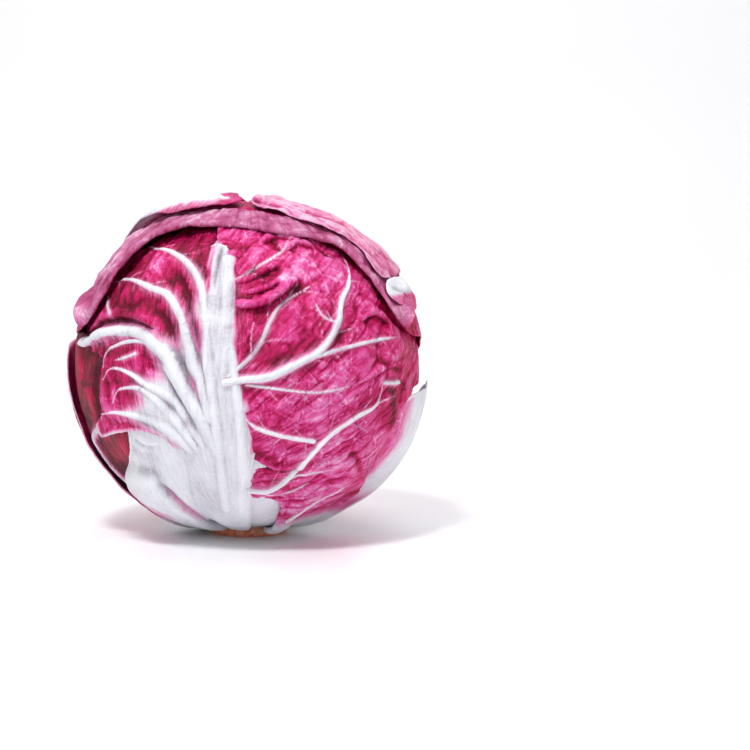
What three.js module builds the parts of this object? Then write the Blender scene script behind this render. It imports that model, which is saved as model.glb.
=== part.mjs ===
// A head of round radicchio standing on its cut stem: a conical core, thin inner leaves nested one inside
// another, and the loose outer leaves that show. Millimetres, +Z up, front towards -Y, and the origin at the
// centre of the cut stem's flat face.
import * as THREE from "three";

// Driving dimensions. The head is an uneven ball: these are its radii before the outer leaves are laid on.
const CENTRE = new THREE.Vector3(0, 0, 57);
const RADIUS_ACROSS = 55.5;
const RADIUS_UP = 50;
const RADIUS_DOWN = 54.5;
const UNDERSIDE_Z = 5.5; // the leaf bases flatten towards this height
const UNDERSIDE_BLEND = 3;

const OUTER_THICKNESS = 0.9;
const LAYER = 2; // rise from one outer leaf to the leaf that lies on it
const RIM_RISE = 2.1; // how far the hood's rim stands off the front leaves
const RIM_FOLD = 0.9; // added thickness where the hood's margin is folded back on itself

const INNER_LEAVES = 12;
const INNER_THICKNESS = 1.7;
const INNER_FIRST_SCALE = 0.905; // size of the largest inner leaf, as a share of the ball
const INNER_LAST_SCALE = 0.315;
const INNER_SPREAD = 82; // degrees from an inner leaf's middle to its margin
const INNER_MIDDLE_LATITUDE = 16;
const INNER_OUTLINE_STEP = 30;
const INNER_GRID = 10;
const GOLDEN_ANGLE = 137.5; // turn from each leaf to the next one in
const CORE_CLEARANCE = 0.8;

const CORE_RADIUS = 12.5;
const CORE_COLLAR = { radius: 12.9, z: 2.6 };
const CORE_SHOULDER = { radius: 4.5, z: 34 };
const CORE_TIP = { radius: 3, z: 37.2 };
const CORE_TOP_Z = 38;
const CORE_SIDES = 40;

const BUD_RADIUS = 11;
const BUD_STRETCH = 1.25;
const BUD_CENTRE_Z = 55;

const DEGREE = Math.PI / 180;

// A smooth step from 0 at `from` to 1 at `to`.
function ramp(x, from, to) {
  const t = THREE.MathUtils.clamp((x - from) / (to - from), 0, 1);
  return t * t * (3 - 2 * t);
}

// The direction of a longitude and latitude on the head: longitude 0 is the front, 90 the right.
function direction([longitude, latitude]) {
  const level = Math.cos(latitude * DEGREE);
  return new THREE.Vector3(
    Math.sin(longitude * DEGREE) * level,
    -Math.cos(longitude * DEGREE) * level,
    Math.sin(latitude * DEGREE),
  );
}

// The longitude and latitude of a direction, the longitude within half a turn of `near`.
function globe(dir, near) {
  const longitude = Math.atan2(dir.x, -dir.y) / DEGREE;
  const latitude = Math.asin(THREE.MathUtils.clamp(dir.z, -1, 1)) / DEGREE;
  return [longitude + 360 * Math.round((near - longitude) / 360), latitude];
}

// The ball's radius in a direction, flattened underneath where the leaves gather round the stem.
function ballRadius(dir) {
  const level = Math.hypot(dir.x, dir.y) / RADIUS_ACROSS;
  const upright = dir.z / (dir.z > 0 ? RADIUS_UP : RADIUS_DOWN);
  const round = 1 / Math.hypot(level, upright);
  if (dir.z > -0.5) return round;
  const flat = (CENTRE.z - UNDERSIDE_Z) / -dir.z;
  const near = Math.max(UNDERSIDE_BLEND - Math.abs(round - flat), 0);
  return Math.min(round, flat) - (near * near) / (4 * UNDERSIDE_BLEND);
}

// A flat chart of the head round a middle direction: distances and bearings from the middle are true.
class Chart {
  constructor(middle) {
    this.out = direction(middle);
    this.east = direction([middle[0] + 90, 0]);
    this.north = new THREE.Vector3().crossVectors(this.out, this.east);
  }

  toFlat(dir) {
    const angle = Math.acos(THREE.MathUtils.clamp(dir.dot(this.out), -1, 1));
    return new THREE.Vector2(dir.dot(this.east), dir.dot(this.north)).setLength(angle);
  }

  toDirection(flat) {
    const angle = flat.length();
    const aside = new THREE.Vector3().addScaledVector(this.east, flat.x).addScaledVector(this.north, flat.y);
    return aside.setLength(Math.sin(angle)).addScaledVector(this.out, Math.cos(angle));
  }
}

// Where a point of a square grid lies inside a leaf: the share of the way to the margin, and round it.
function gridPlace(i, j, grid) {
  const x = (2 * i) / grid - 1;
  const y = (2 * j) / grid - 1;
  const out = Math.max(Math.abs(x), Math.abs(y));
  if (out === 0) return { out: 0, round: 0 };
  const [u, v] = [x / out, y / out];
  let side = 3 + (1 - v) / 2;
  if (v <= -1) side = (u + 1) / 2;
  else if (u >= 1) side = 1 + (v + 1) / 2;
  else if (v >= 1) side = 2 + (1 - u) / 2;
  return { out, round: (side / 4) % 1 };
}

// The smooth closed margin through an outline's places, counter-clockwise on the leaf's chart.
function marginCurve(chart, outline) {
  const corners = outline.map((place) => chart.toFlat(direction(place)));
  if (THREE.ShapeUtils.isClockWise(corners)) corners.reverse();
  const points = corners.map((corner) => new THREE.Vector3(corner.x, corner.y, 0));
  return new THREE.CatmullRomCurve3(points, true, "centripetal");
}

// A leaf as a thin closed shell. `outline` lists longitudes and latitudes in order round `middle`, `lift` is
// the leaf's height over the ball, and `fold` is what its outer face gains where the margin is doubled.
function leafGeometry({ middle, outline, lift, grid, thickness, scale = 1, fold = () => 0 }) {
  const chart = new Chart(middle);
  const margin = marginCurve(chart, outline);
  const outer = [];
  const inner = [];
  for (let j = 0; j <= grid; j++) {
    for (let i = 0; i <= grid; i++) {
      const { out, round } = gridPlace(i, j, grid);
      const edge = margin.getPointAt(round);
      const dir = chart.toDirection(new THREE.Vector2(edge.x, edge.y).multiplyScalar(out));
      const [longitude, latitude] = globe(dir, middle[0]);
      const radius = ballRadius(dir) * scale + lift(longitude, latitude);
      const outside = radius + thickness / 2 + fold(longitude, latitude, out);
      outer.push(CENTRE.clone().addScaledVector(dir, outside));
      inner.push(CENTRE.clone().addScaledVector(dir, radius - thickness / 2));
    }
  }
  return closedShell(outer, inner, grid);
}

// Joins two square grids of points into one closed surface whose faces point out.
function closedShell(outer, inner, grid) {
  const under = outer.length;
  const at = (i, j) => j * (grid + 1) + i;
  const triangles = [];
  for (let j = 0; j < grid; j++) {
    for (let i = 0; i < grid; i++) {
      const [a, b, c, d] = [at(i, j), at(i + 1, j), at(i + 1, j + 1), at(i, j + 1)];
      triangles.push(a, b, c, a, c, d);
      triangles.push(under + a, under + c, under + b, under + a, under + d, under + c);
    }
  }
  const rim = [];
  for (let i = 0; i < grid; i++) rim.push(at(i, 0));
  for (let j = 0; j < grid; j++) rim.push(at(grid, j));
  for (let i = grid; i > 0; i--) rim.push(at(i, grid));
  for (let j = grid; j > 0; j--) rim.push(at(0, j));
  rim.forEach((a, k) => {
    const b = rim[(k + 1) % rim.length];
    triangles.push(a, under + a, b, b, under + a, under + b);
  });
  const geometry = new THREE.BufferGeometry().setFromPoints([...outer, ...inner]);
  geometry.setIndex(triangles);
  geometry.computeVertexNormals();
  return geometry;
}

// 1 at the leaf bases stacked round the stem, and 0 above them.
const nearBase = (latitude) => ramp(-latitude, 42, 68);

// 1 on the half of the head that faces the front, and 0 behind it.
function frontness(longitude, latitude) {
  return ramp(direction([longitude, latitude]).dot(direction([0, 7])), -0.16, 0.2);
}

// 1 at the sides of the head, below its shoulders.
function atSide(longitude, latitude) {
  return ramp(Math.abs(direction([longitude, latitude]).x), 0.65, 0.9) * ramp(-latitude, -62, -50);
}

// The hood lies one layer over the ball. In front its rim stands off the leaves that it covers, and it hugs
// them more closely at the sides.
function hoodLift(longitude, latitude) {
  const rim = frontness(longitude, latitude) * ramp(latitude, -14, 4);
  return LAYER + RIM_RISE * rim * (1 - 0.4 * atSide(longitude, latitude));
}

// The outer leaves, from the ones next to the ball to the ones that lie on the others.
const OUTER_LEAVES = [
  {
    name: "left_strip_leaf",
    grid: 8,
    middle: [-78, -32],
    outline: [
      [-52, 2], [-49, -15], [-46, -38], [-50, -60], [-62, -75], [-88, -75], [-100, -56], [-104, -34],
      [-100, -10], [-92, 8], [-72, 10],
    ],
    // Its left part lies further out, clear of the leaf in front.
    lift: (longitude, latitude) => {
      const outward = ramp(-longitude, 62, 84) * ramp(latitude, -62, -46) * ramp(-latitude, -2, 12);
      return -2.3 + 2.3 * nearBase(latitude) + 2 * outward;
    },
  },
  {
    name: "lower_left_leaf",
    grid: 8,
    middle: [-44, -40],
    outline: [
      [-21, -15], [-46, -13], [-45, -20], [-50, -29], [-61, -40], [-73, -48], [-73, -56], [-68, -66],
      [-54, -75], [-40, -76], [-31, -66], [-26, -55], [-26, -46], [-26, -38], [-23, -28],
    ],
    lift: (longitude, latitude) => -1 + 2.8 * ramp(-latitude, 27, 37) + 0.5 * nearBase(latitude),
  },
  {
    name: "front_rib_leaf",
    grid: 14,
    middle: [-12, 6],
    outline: [
      [28, -74], [26, -62], [22, -48], [16, -36], [13, -20], [15, 10], [20, 40], [28, 60], [14, 75],
      [-30, 74], [-60, 67], [-74, 52], [-80, 34], [-84, 18], [-89, 9], [-86, 3], [-64, 6], [-55, 2],
      [-54, -10], [-61, -18], [-60, -21], [-44, -18], [-28, -17.5], [-19, -21], [-16, -30], [-19, -39],
      [-30, -46], [-36, -62], [-34, -73], [0, -75],
    ],
    // The flap at the lower left lifts over the lower left leaf, and the base lies on the stem's collar.
    lift: (longitude, latitude) => {
      const flap = ramp(-latitude, 2, 14) * ramp(latitude, -32, -22) * ramp(-longitude, 22, 32);
      return 0.2 + 1.7 * flap + 2 * nearBase(latitude) * ramp(longitude, -28, -12);
    },
  },
  {
    name: "right_outer_leaf",
    grid: 9,
    middle: [84, -42],
    outline: [
      [68, -75], [60, -68], [50, -56], [47, -40], [54, -28], [64, -20], [72, -11], [80, -8], [90, -6],
      [104, -12], [118, -30], [122, -50], [112, -66], [92, -75],
    ],
    // It starts under the leaf on its left and comes out past that leaf's margin.
    lift: (longitude, latitude) => {
      const clear = ramp(longitude - 8 * ramp(-latitude, 24, 44), 66, 84);
      return 0.4 + 4.3 * clear * (1 - 0.3 * nearBase(latitude));
    },
  },
  {
    name: "right_wrapper_leaf",
    grid: 14,
    middle: [34, 0],
    outline: [
      [24, -75], [20, -60], [16, -46], [3, -44], [-1, -38], [1, -25], [3, -18], [-1, -7], [-6, 0],
      [-3, 6], [-3, 27], [-3, 38], [-5, 47], [-16, 55], [-16, 66], [-2, 75], [25, 72], [50, 60], [66, 44],
      [80, 26], [88, 8], [82, -4], [68, -10], [62, -18], [58, -26], [59, -34], [65, -42], [70, -50],
      [70, -58], [62, -68], [44, -75],
    ],
    // It settles closer to the ball at the right, past the leaf that it overlaps.
    lift: (longitude, latitude) => {
      const settled = ramp(longitude, 36, 60) * ramp(latitude, -14, -2);
      return 0.3 + LAYER * (1 - 0.65 * settled + nearBase(latitude) * ramp(-longitude, -42, -26));
    },
  },
  {
    name: "hood_leaf",
    grid: 16,
    middle: [180, 30],
    outline: [
      [-92, 8], [-78, 12], [-67, 17], [-62, 30], [-60, 49], [-53, 55], [-26, 60], [8, 58], [27, 54],
      [43, 51], [54, 44], [57, 32], [61, 19], [70, 12], [84, 8], [96, 0], [104, -20], [118, -48],
      [130, -62], [146, -71], [166, -75], [-166, -75], [-142, -71], [-124, -60], [-108, -42], [-99, -16],
    ],
    lift: hoodLift,
    // The margin is folded back over the leaf along the front, which doubles it there.
    fold: (longitude, latitude, out) =>
      RIM_FOLD * frontness(longitude, latitude) * ramp(latitude, 4, 18) * ramp(out, 0.84, 0.92),
  },
  {
    name: "left_outer_leaf",
    grid: 10,
    middle: [-108, -34],
    outline: [
      [-88, 4], [-83, -6], [-80, -22], [-78, -38], [-76, -54], [-80, -72], [-98, -75], [-124, -74],
      [-140, -60], [-141, -36], [-134, -8], [-118, 5], [-100, 7],
    ],
    lift: (longitude, latitude) => hoodLift(longitude, latitude) + 0.8 * LAYER,
  },
  {
    name: "top_left_leaf",
    grid: 14,
    middle: [-140, 26],
    outline: [
      [-88, 42], [-78, 52], [-68, 58.5], [-39, 66], [-14, 73], [-8, 79], [-26, 83], [-80, 84], [-150, 82],
      [180, 73], [172, 50], [174, 16], [176, -24], [178, -58], [-174, -71], [-160, -71], [-149, -48],
      [-146, -16], [-132, 14], [-106, 30],
    ],
    lift: (longitude, latitude) =>
      hoodLift(longitude, latitude) + 1.25 * LAYER + ramp(longitude, -110, -80) * ramp(latitude, 30, 66),
  },
  {
    name: "top_right_leaf",
    grid: 14,
    middle: [128, 30],
    outline: [
      [9, 77], [14, 72], [30, 67], [48, 55], [57, 48], [60, 40], [62, 33], [72, 31], [84, 31], [96, 29],
      [106, 22], [116, 6], [134, -16], [144, -42], [154, -60], [166, -67], [184, -67], [190, -52],
      [196, -16], [196, 26], [188, 56], [176, 76], [100, 81],
    ],
    lift: (longitude, latitude) =>
      hoodLift(longitude, latitude) + LAYER * (1.2 + 1.3 * ramp(longitude, 138, 162)),
  },
  {
    name: "side_curl_leaf",
    grid: 6,
    middle: [74, 23],
    outline: [[62, 27], [66, 29], [74, 29], [82, 27], [84, 22], [76, 18], [66, 20]],
    lift: (longitude, latitude) => hoodLift(longitude, latitude) + 1.2 * LAYER,
  },
];

// The core's radius at a height on its side.
function coreRadius(z) {
  const share = (z - CORE_COLLAR.z) / (CORE_SHOULDER.z - CORE_COLLAR.z);
  return THREE.MathUtils.lerp(CORE_COLLAR.radius, CORE_SHOULDER.radius, THREE.MathUtils.clamp(share, 0, 1));
}

// How far down an inner leaf's base reaches before it meets the core.
function baseLatitude(scale) {
  for (let latitude = -50; latitude > -86; latitude -= 0.5) {
    const dir = direction([0, latitude]);
    const point = CENTRE.clone().addScaledVector(dir, ballRadius(dir) * scale - INNER_THICKNESS);
    if (Math.abs(point.y) < coreRadius(point.z) + CORE_CLEARANCE) return latitude;
  }
  return -86;
}

// A round leaf wrapped over the ball inside it, its base drawn down to the core.
function innerLeaf(number) {
  const share = (number - 1) / (INNER_LEAVES - 1);
  const scale = THREE.MathUtils.lerp(INNER_FIRST_SCALE, INNER_LAST_SCALE, share);
  const longitude = ((90 + number * GOLDEN_ANGLE) % 360) - 180;
  const middle = [longitude, INNER_MIDDLE_LATITUDE];
  const chart = new Chart(middle);
  const outline = [[longitude, baseLatitude(scale)]];
  for (let turn = INNER_OUTLINE_STEP; turn < 360; turn += INNER_OUTLINE_STEP) {
    const bearing = new THREE.Vector2(Math.sin(turn * DEGREE), -Math.cos(turn * DEGREE));
    outline.push(globe(chart.toDirection(bearing.multiplyScalar(INNER_SPREAD * DEGREE)), longitude));
  }
  const name = `inner_leaf_${String(number).padStart(2, "0")}`;
  return { name, middle, outline, scale, lift: () => 0, thickness: INNER_THICKNESS, grid: INNER_GRID };
}

function coreGeometry() {
  const rings = [{ radius: CORE_RADIUS, z: 0 }, CORE_COLLAR, CORE_SHOULDER, CORE_TIP];
  const sides = [{ radius: 0, z: 0 }, ...rings, { radius: 0, z: CORE_TOP_Z }];
  const profile = sides.map(({ radius, z }) => new THREE.Vector2(radius, z));
  return new THREE.LatheGeometry(profile, CORE_SIDES).rotateX(Math.PI / 2);
}

function budGeometry() {
  const ball = new THREE.SphereGeometry(BUD_RADIUS, 20, 12).rotateX(Math.PI / 2);
  return ball.scale(1, 1, BUD_STRETCH).translate(0, 0, BUD_CENTRE_Z);
}

const MATERIALS = {
  leaf: new THREE.MeshStandardMaterial({ color: 0xb5134f, roughness: 0.5, metalness: 0 }),
  rib: new THREE.MeshStandardMaterial({ color: 0xe3e1e8, roughness: 0.45, metalness: 0 }),
  stem: new THREE.MeshStandardMaterial({ color: 0xe0a184, roughness: 0.7, metalness: 0 }),
};
const WHITE_RIBBED = ["front_rib_leaf", "lower_left_leaf", "side_curl_leaf"];

const head = new THREE.Group();

function addPiece(name, geometry, material) {
  const mesh = new THREE.Mesh(geometry, material.clone());
  mesh.name = name;
  head.add(mesh);
}

addPiece("stem_core", coreGeometry(), MATERIALS.stem);
addPiece("heart_bud", budGeometry(), MATERIALS.leaf);
for (let number = 1; number <= INNER_LEAVES; number++) {
  const leaf = innerLeaf(number);
  addPiece(leaf.name, leafGeometry(leaf), MATERIALS.leaf);
}
for (const leaf of OUTER_LEAVES) {
  const material = WHITE_RIBBED.includes(leaf.name) ? MATERIALS.rib : MATERIALS.leaf;
  addPiece(leaf.name, leafGeometry({ thickness: OUTER_THICKNESS, ...leaf }), material);
}

export default head;
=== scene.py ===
"""The looks of a radicchio head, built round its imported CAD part: veined leaves, cut stem, studio, camera."""

import math
from itertools import product

import bpy
import numpy as np
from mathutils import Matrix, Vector


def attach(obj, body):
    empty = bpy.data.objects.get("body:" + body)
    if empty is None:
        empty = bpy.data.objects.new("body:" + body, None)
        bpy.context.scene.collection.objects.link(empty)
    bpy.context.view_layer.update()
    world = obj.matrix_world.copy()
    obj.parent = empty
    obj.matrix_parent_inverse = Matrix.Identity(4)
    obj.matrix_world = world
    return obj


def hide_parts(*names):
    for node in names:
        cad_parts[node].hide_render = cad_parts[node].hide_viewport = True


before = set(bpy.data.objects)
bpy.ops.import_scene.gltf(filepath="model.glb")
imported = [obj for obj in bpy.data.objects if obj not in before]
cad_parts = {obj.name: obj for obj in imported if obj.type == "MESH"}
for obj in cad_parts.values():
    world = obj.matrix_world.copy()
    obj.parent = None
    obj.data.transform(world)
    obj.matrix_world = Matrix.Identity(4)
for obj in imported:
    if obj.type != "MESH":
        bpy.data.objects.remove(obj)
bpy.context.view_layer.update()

MM = 0.001

# ---- the ball that the leaves wrap

CENTRE = np.array([0.0, 0.0, 57.0])
RADIUS_ACROSS = 55.5
RADIUS_UP = 50.0
RADIUS_DOWN = 54.5
UNDERSIDE_Z = 5.5
UNDERSIDE_BLEND = 3.0
ARC = 57.0  # millimetres of surface to a radian, for measuring along the leaves
LAYER = 2.0
RIM_RISE = 2.1


def ramp(x, start, end):
    """A smooth step from 0 at start to 1 at end."""
    t = np.clip((x - start) / (end - start), 0, 1)
    return t * t * (3 - 2 * t)


def bell(x):
    """A bump of height 1 round 0, a little over one unit wide to each side."""
    return np.exp(-(x**2))


def fade_ends(along, first, last):
    """1 along a curve, falling to 0 over a share of its length at its first and last ends."""
    return ramp(along, 0, first) * ramp(1 - along, 0, last)


def direction(longitude, latitude):
    """The direction of a place on the head: longitude 0 is the front, 90 the right."""
    lon, lat = np.radians(longitude), np.radians(latitude)
    return np.stack([np.sin(lon) * np.cos(lat), -np.cos(lon) * np.cos(lat), np.sin(lat) + 0 * lon], -1)


def places(points):
    """The directions of a list of (longitude, latitude)."""
    table = np.array(points, float)
    return direction(table[:, 0], table[:, 1])


def globe(dirs, near):
    """Longitudes and latitudes of directions, the longitudes within half a turn of near."""
    lon = np.degrees(np.arctan2(dirs[..., 0], -dirs[..., 1]))
    lon = lon + 360 * np.round((near - lon) / 360)
    return lon, np.degrees(np.arcsin(np.clip(dirs[..., 2], -1, 1)))


def ball_radius(dirs):
    """The ball's radius, flattened underneath where the leaves gather round the stem."""
    level = np.hypot(dirs[..., 0], dirs[..., 1]) / RADIUS_ACROSS
    upright = dirs[..., 2] / np.where(dirs[..., 2] > 0, RADIUS_UP, RADIUS_DOWN)
    round_ = 1 / np.hypot(level, upright)
    flat = (CENTRE[2] - UNDERSIDE_Z) / np.maximum(-dirs[..., 2], 0.5)
    near = np.maximum(UNDERSIDE_BLEND - abs(round_ - flat), 0)
    joined = np.minimum(round_, flat) - near**2 / (4 * UNDERSIDE_BLEND)
    return np.where(dirs[..., 2] > -0.5, round_, joined)


def under_hood(lon, lat):
    """1 on the part of the ball that the hood covers, a little way in from its rim."""
    return ramp(-(direction(lon, lat) @ direction(0, 2)), -0.47, -0.36)


def frontness(lon, lat):
    """1 on the half of the head that faces the front, and 0 behind it."""
    return ramp(direction(lon, lat) @ direction(0, 7), -0.16, 0.2)


def near_base(lat):
    """1 at the leaf bases stacked round the stem, and 0 above them."""
    return ramp(-lat, 42, 68)


def hood_lift(lon, lat):
    """The hood's lift: a layer over the ball, with a rim that stands off, less at the sides."""
    rise = RIM_RISE * frontness(lon, lat) * ramp(lat, -14, 4)
    aside = direction(lon, lat)[..., 0]
    left = ramp(-aside, 0.65, 0.9) * ramp(lat, 62, 50)
    right = ramp(aside, 0.65, 0.9) * ramp(lat, 62, 50)
    return LAYER - 0.6 + rise * (1 - 0.5 * left - 0.3 * right) + 0.4 * right * ramp(lat, 4, 20)


# ---- noise


HASH = np.array([127.1, 311.7, 74.7])
HASH_SEED = 53.3
HASH_SCALE = 43758.5453


def lattice(cell, seed):
    """A fixed random number from 0 to 1 for each whole-number place."""
    return np.mod(np.sin(cell @ HASH + HASH_SEED * seed) * HASH_SCALE, 1.0)


def noise(where, seed):
    """Smooth noise from -1 to 1, with features about one unit across."""
    cell = np.floor(where)
    part = where - cell
    part = part * part * (3 - 2 * part)
    total = 0
    for corner in product((0, 1), repeat=3):
        weight = np.prod(np.where(corner, part, 1 - part), axis=-1)
        total = total + weight * lattice(cell + corner, seed)
    return 2 * total - 1


def layered(where, seed, octaves=4):
    """Noise with finer and weaker noise added to it."""
    return sum(noise(where * 2**k, seed + k) / 2**k for k in range(octaves))


def creased(where, seed, octaves=3):
    """Noise with narrow valleys between rounded humps, from about -1 to 0."""
    return -sum((1 - abs(noise(where * 2**k, seed + k))) ** 4 / 2**k for k in range(octaves)) / 1.5


def cells(where, seed):
    """How far each place is from the walls of an irregular net with meshes about one unit across."""
    base = np.floor(where)
    first = np.full(len(where), 9.0)
    second = first.copy()
    for offset in product((-1, 0, 1), repeat=3):
        cell = base + offset
        corner = cell + np.stack([lattice(cell, seed + k) for k in range(3)], -1)
        gap = np.linalg.norm(where - corner, axis=1)
        second = np.minimum(second, np.maximum(first, gap))
        first = np.minimum(first, gap)
    return second - first


# ---- curves on the head


SPLINE_STEPS = 24


def spline(points, count, closed=False):
    """count points evenly along a smooth curve through the given ones."""
    p = np.array(points, float)
    if closed:
        p = np.vstack([p[-1], p, p[0], p[1]])
    else:
        p = np.vstack([2 * p[0] - p[1], p, 2 * p[-1] - p[-2]])
    gap = np.linalg.norm(np.diff(p, axis=0), axis=1)[:, None]
    slope = np.diff(p, axis=0) / gap
    bend = (slope[:-1] * gap[1:] + slope[1:] * gap[:-1]) / (gap[:-1] + gap[1:])
    t = np.linspace(0, 1, SPLINE_STEPS, endpoint=False)[:, None]
    pieces = []
    for k in range(len(bend) - 1):
        a, b, h = p[k + 1], p[k + 2], gap[k + 1]
        pieces.append(
            (2 * t**3 - 3 * t**2 + 1) * a
            + (t**3 - 2 * t**2 + t) * h * bend[k]
            + (3 * t**2 - 2 * t**3) * b
            + (t**3 - t**2) * h * bend[k + 1]
        )
    dense = np.vstack([*pieces, p[-2]])
    run = np.concatenate([[0], np.cumsum(np.linalg.norm(np.diff(dense, axis=0), axis=1))])
    wanted = np.linspace(0, run[-1], count, endpoint=not closed)
    return np.stack([np.interp(wanted, run, dense[:, k]) for k in range(p.shape[1])], -1)


def on_sphere(points, count):
    """A smooth curve through (longitude, latitude) places, as points on a sphere of radius ARC."""
    curve = spline(places(points), count)
    return ARC * curve / np.linalg.norm(curve, axis=1, keepdims=True)


def nearest(where, curve):
    """Each point's distance from a curve, how far along it the nearest place is, and the side it is on."""
    best = np.full(len(where), np.inf)
    along = np.zeros(len(where))
    side = np.ones(len(where))
    for k in range(len(curve) - 1):
        step = curve[k + 1] - curve[k]
        off = where - curve[k]
        t = np.clip(off @ step / (step @ step), 0, 1)
        gap = np.linalg.norm(off - t[:, None] * step, axis=1)
        closer = gap < best
        best = np.where(closer, gap, best)
        along = np.where(closer, (k + t) / (len(curve) - 1), along)
        side = np.where(closer, np.sign(np.cross(curve[k], step) @ off.T), side)
    return best, along, side


class Chart:
    """A flat map of the head round a middle: distances and bearings from the middle are true."""

    def __init__(self, middle):
        self.out = direction(*middle)
        self.east = direction(middle[0] + 90, 0)
        self.north = np.cross(self.out, self.east)

    def to_flat(self, dirs):
        """Directions on the head as places on the map."""
        angle = np.arccos(np.clip(dirs @ self.out, -1, 1))
        aside = np.stack([dirs @ self.east, dirs @ self.north], -1)
        return aside * (angle / np.maximum(np.linalg.norm(aside, axis=-1), 1e-9))[..., None]

    def to_dirs(self, flat):
        """Places on the map as directions on the head."""
        angle = np.linalg.norm(flat, axis=-1, keepdims=True)
        aside = flat[..., :1] * self.east + flat[..., 1:] * self.north
        return aside * np.sinc(angle / np.pi) + self.out * np.cos(angle)


# ---- meshes


def square_places(n):
    """For a square grid: each point's share of the way out to the margin, and its share of the way round."""
    x, y = np.meshgrid(np.linspace(-1, 1, n + 1), np.linspace(-1, 1, n + 1))
    out = np.maximum(abs(x), abs(y))
    u, v = x / np.maximum(out, 1e-9), y / np.maximum(out, 1e-9)
    side = np.where(v >= 1, 2 + (1 - u) / 2, 3 + (1 - v) / 2)
    side = np.where(u >= 1, 1 + (v + 1) / 2, side)
    side = np.where(v <= -1, (u + 1) / 2, side)
    return out, np.where(out > 0, (side / 4) % 1, 0)


def grid_quads(n, first, flip):
    """The quads of a square grid of points, numbered from first."""
    i, j = np.meshgrid(np.arange(n), np.arange(n))
    a = (first + j * (n + 1) + i).ravel()
    ring = [a, a + 1, a + n + 2, a + n + 1]
    return np.stack(ring[::-1] if flip else ring, -1)


def grid_rim(n, first):
    """The outer points of a square grid, in order round it."""
    k = np.arange(n)
    sides = [k, k * (n + 1) + n, n * (n + 1) + n - k, (n - k) * (n + 1)]
    return first + np.concatenate(sides)


def rim_faces(outer, inner):
    """The faces between an outer rim and an inner one with as many points, or with a third as many."""
    o = np.append(outer, outer[0])
    i = np.append(inner, inner[0])
    k = np.arange(len(inner))
    if len(outer) == len(inner):
        return np.stack([o[k], i[k], i[k + 1], o[k + 1]], -1)
    fans = [
        (o[3 * k], i[k], o[3 * k + 1]),
        (o[3 * k + 1], i[k], i[k + 1]),
        (o[3 * k + 1], i[k + 1], o[3 * k + 2]),
        (o[3 * k + 2], i[k + 1], o[3 * k + 3]),
    ]
    return np.concatenate([np.stack(fan, -1) for fan in fans])


def make_object(name, points, faces, fields):
    """A mesh object from points in millimetres, lists of faces of one size each, and named point values."""
    mesh = bpy.data.meshes.new(name)
    sizes = np.concatenate([np.full(len(f), f.shape[1]) for f in faces])
    corners = np.concatenate([f.ravel() for f in faces])
    mesh.vertices.add(len(points))
    mesh.vertices.foreach_set("co", (points * MM).ravel())
    mesh.loops.add(len(corners))
    mesh.loops.foreach_set("vertex_index", corners)
    mesh.polygons.add(len(sizes))
    mesh.polygons.foreach_set("loop_start", np.concatenate([[0], np.cumsum(sizes)[:-1]]))
    mesh.polygons.foreach_set("loop_total", sizes)
    mesh.polygons.foreach_set("use_smooth", np.ones(len(sizes), bool))
    for key, values in fields.items():
        kind = "FLOAT_VECTOR" if values.ndim == 2 else "FLOAT"
        layer = mesh.attributes.new(key, kind, "POINT")
        field = "vector" if values.ndim == 2 else "value"
        layer.data.foreach_set(field, values.astype(np.float32).ravel())
    mesh.update(calc_edges=True)
    mesh.validate()
    piece = bpy.data.objects.new(name, mesh)
    bpy.context.scene.collection.objects.link(piece)
    return piece


def grid_normals(surface):
    """The outward direction at each point of a grid."""
    across = np.gradient(surface, axis=1)
    up = np.gradient(surface, axis=0)
    cross = np.cross(across, up)
    return cross / np.maximum(np.linalg.norm(cross, axis=-1, keepdims=True), 1e-9)


def shell(name, surface, outward, inward, fields, n, coarser):
    """A closed leaf: a fine outer face, an inner face some times coarser, and the edge between them."""
    normals = grid_normals(surface)
    outer = surface + normals * outward[..., None]
    inner = (surface - normals * inward[..., None])[::coarser, ::coarser]
    m = n // coarser
    under = (n + 1) ** 2
    points = np.concatenate([outer.reshape(-1, 3), inner.reshape(-1, 3)])
    quads = np.concatenate([grid_quads(n, 0, False), grid_quads(m, under, True)])
    rim = rim_faces(grid_rim(n, 0), grid_rim(m, under))
    both = {}
    for key, values in fields.items():
        tail = values.shape[2:]
        behind = values[::coarser, ::coarser].reshape(-1, *tail)
        both[key] = np.concatenate([values.reshape(-1, *tail), behind])
    return make_object(name, points, [quads, rim], both)


# ---- leaves


FAR_FROM_VEINS = 30.0
TRUNK_POINTS = 60
TRUNK_USED = 52
TWIG_WHITE = 0.45
FLOW_LENGTH = 14.0  # millimetres of leaf to a unit along its flow
NETS = ((9.0, 1.0), (4.0, 0.35))  # mesh sizes in mm, and how strong each is


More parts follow.
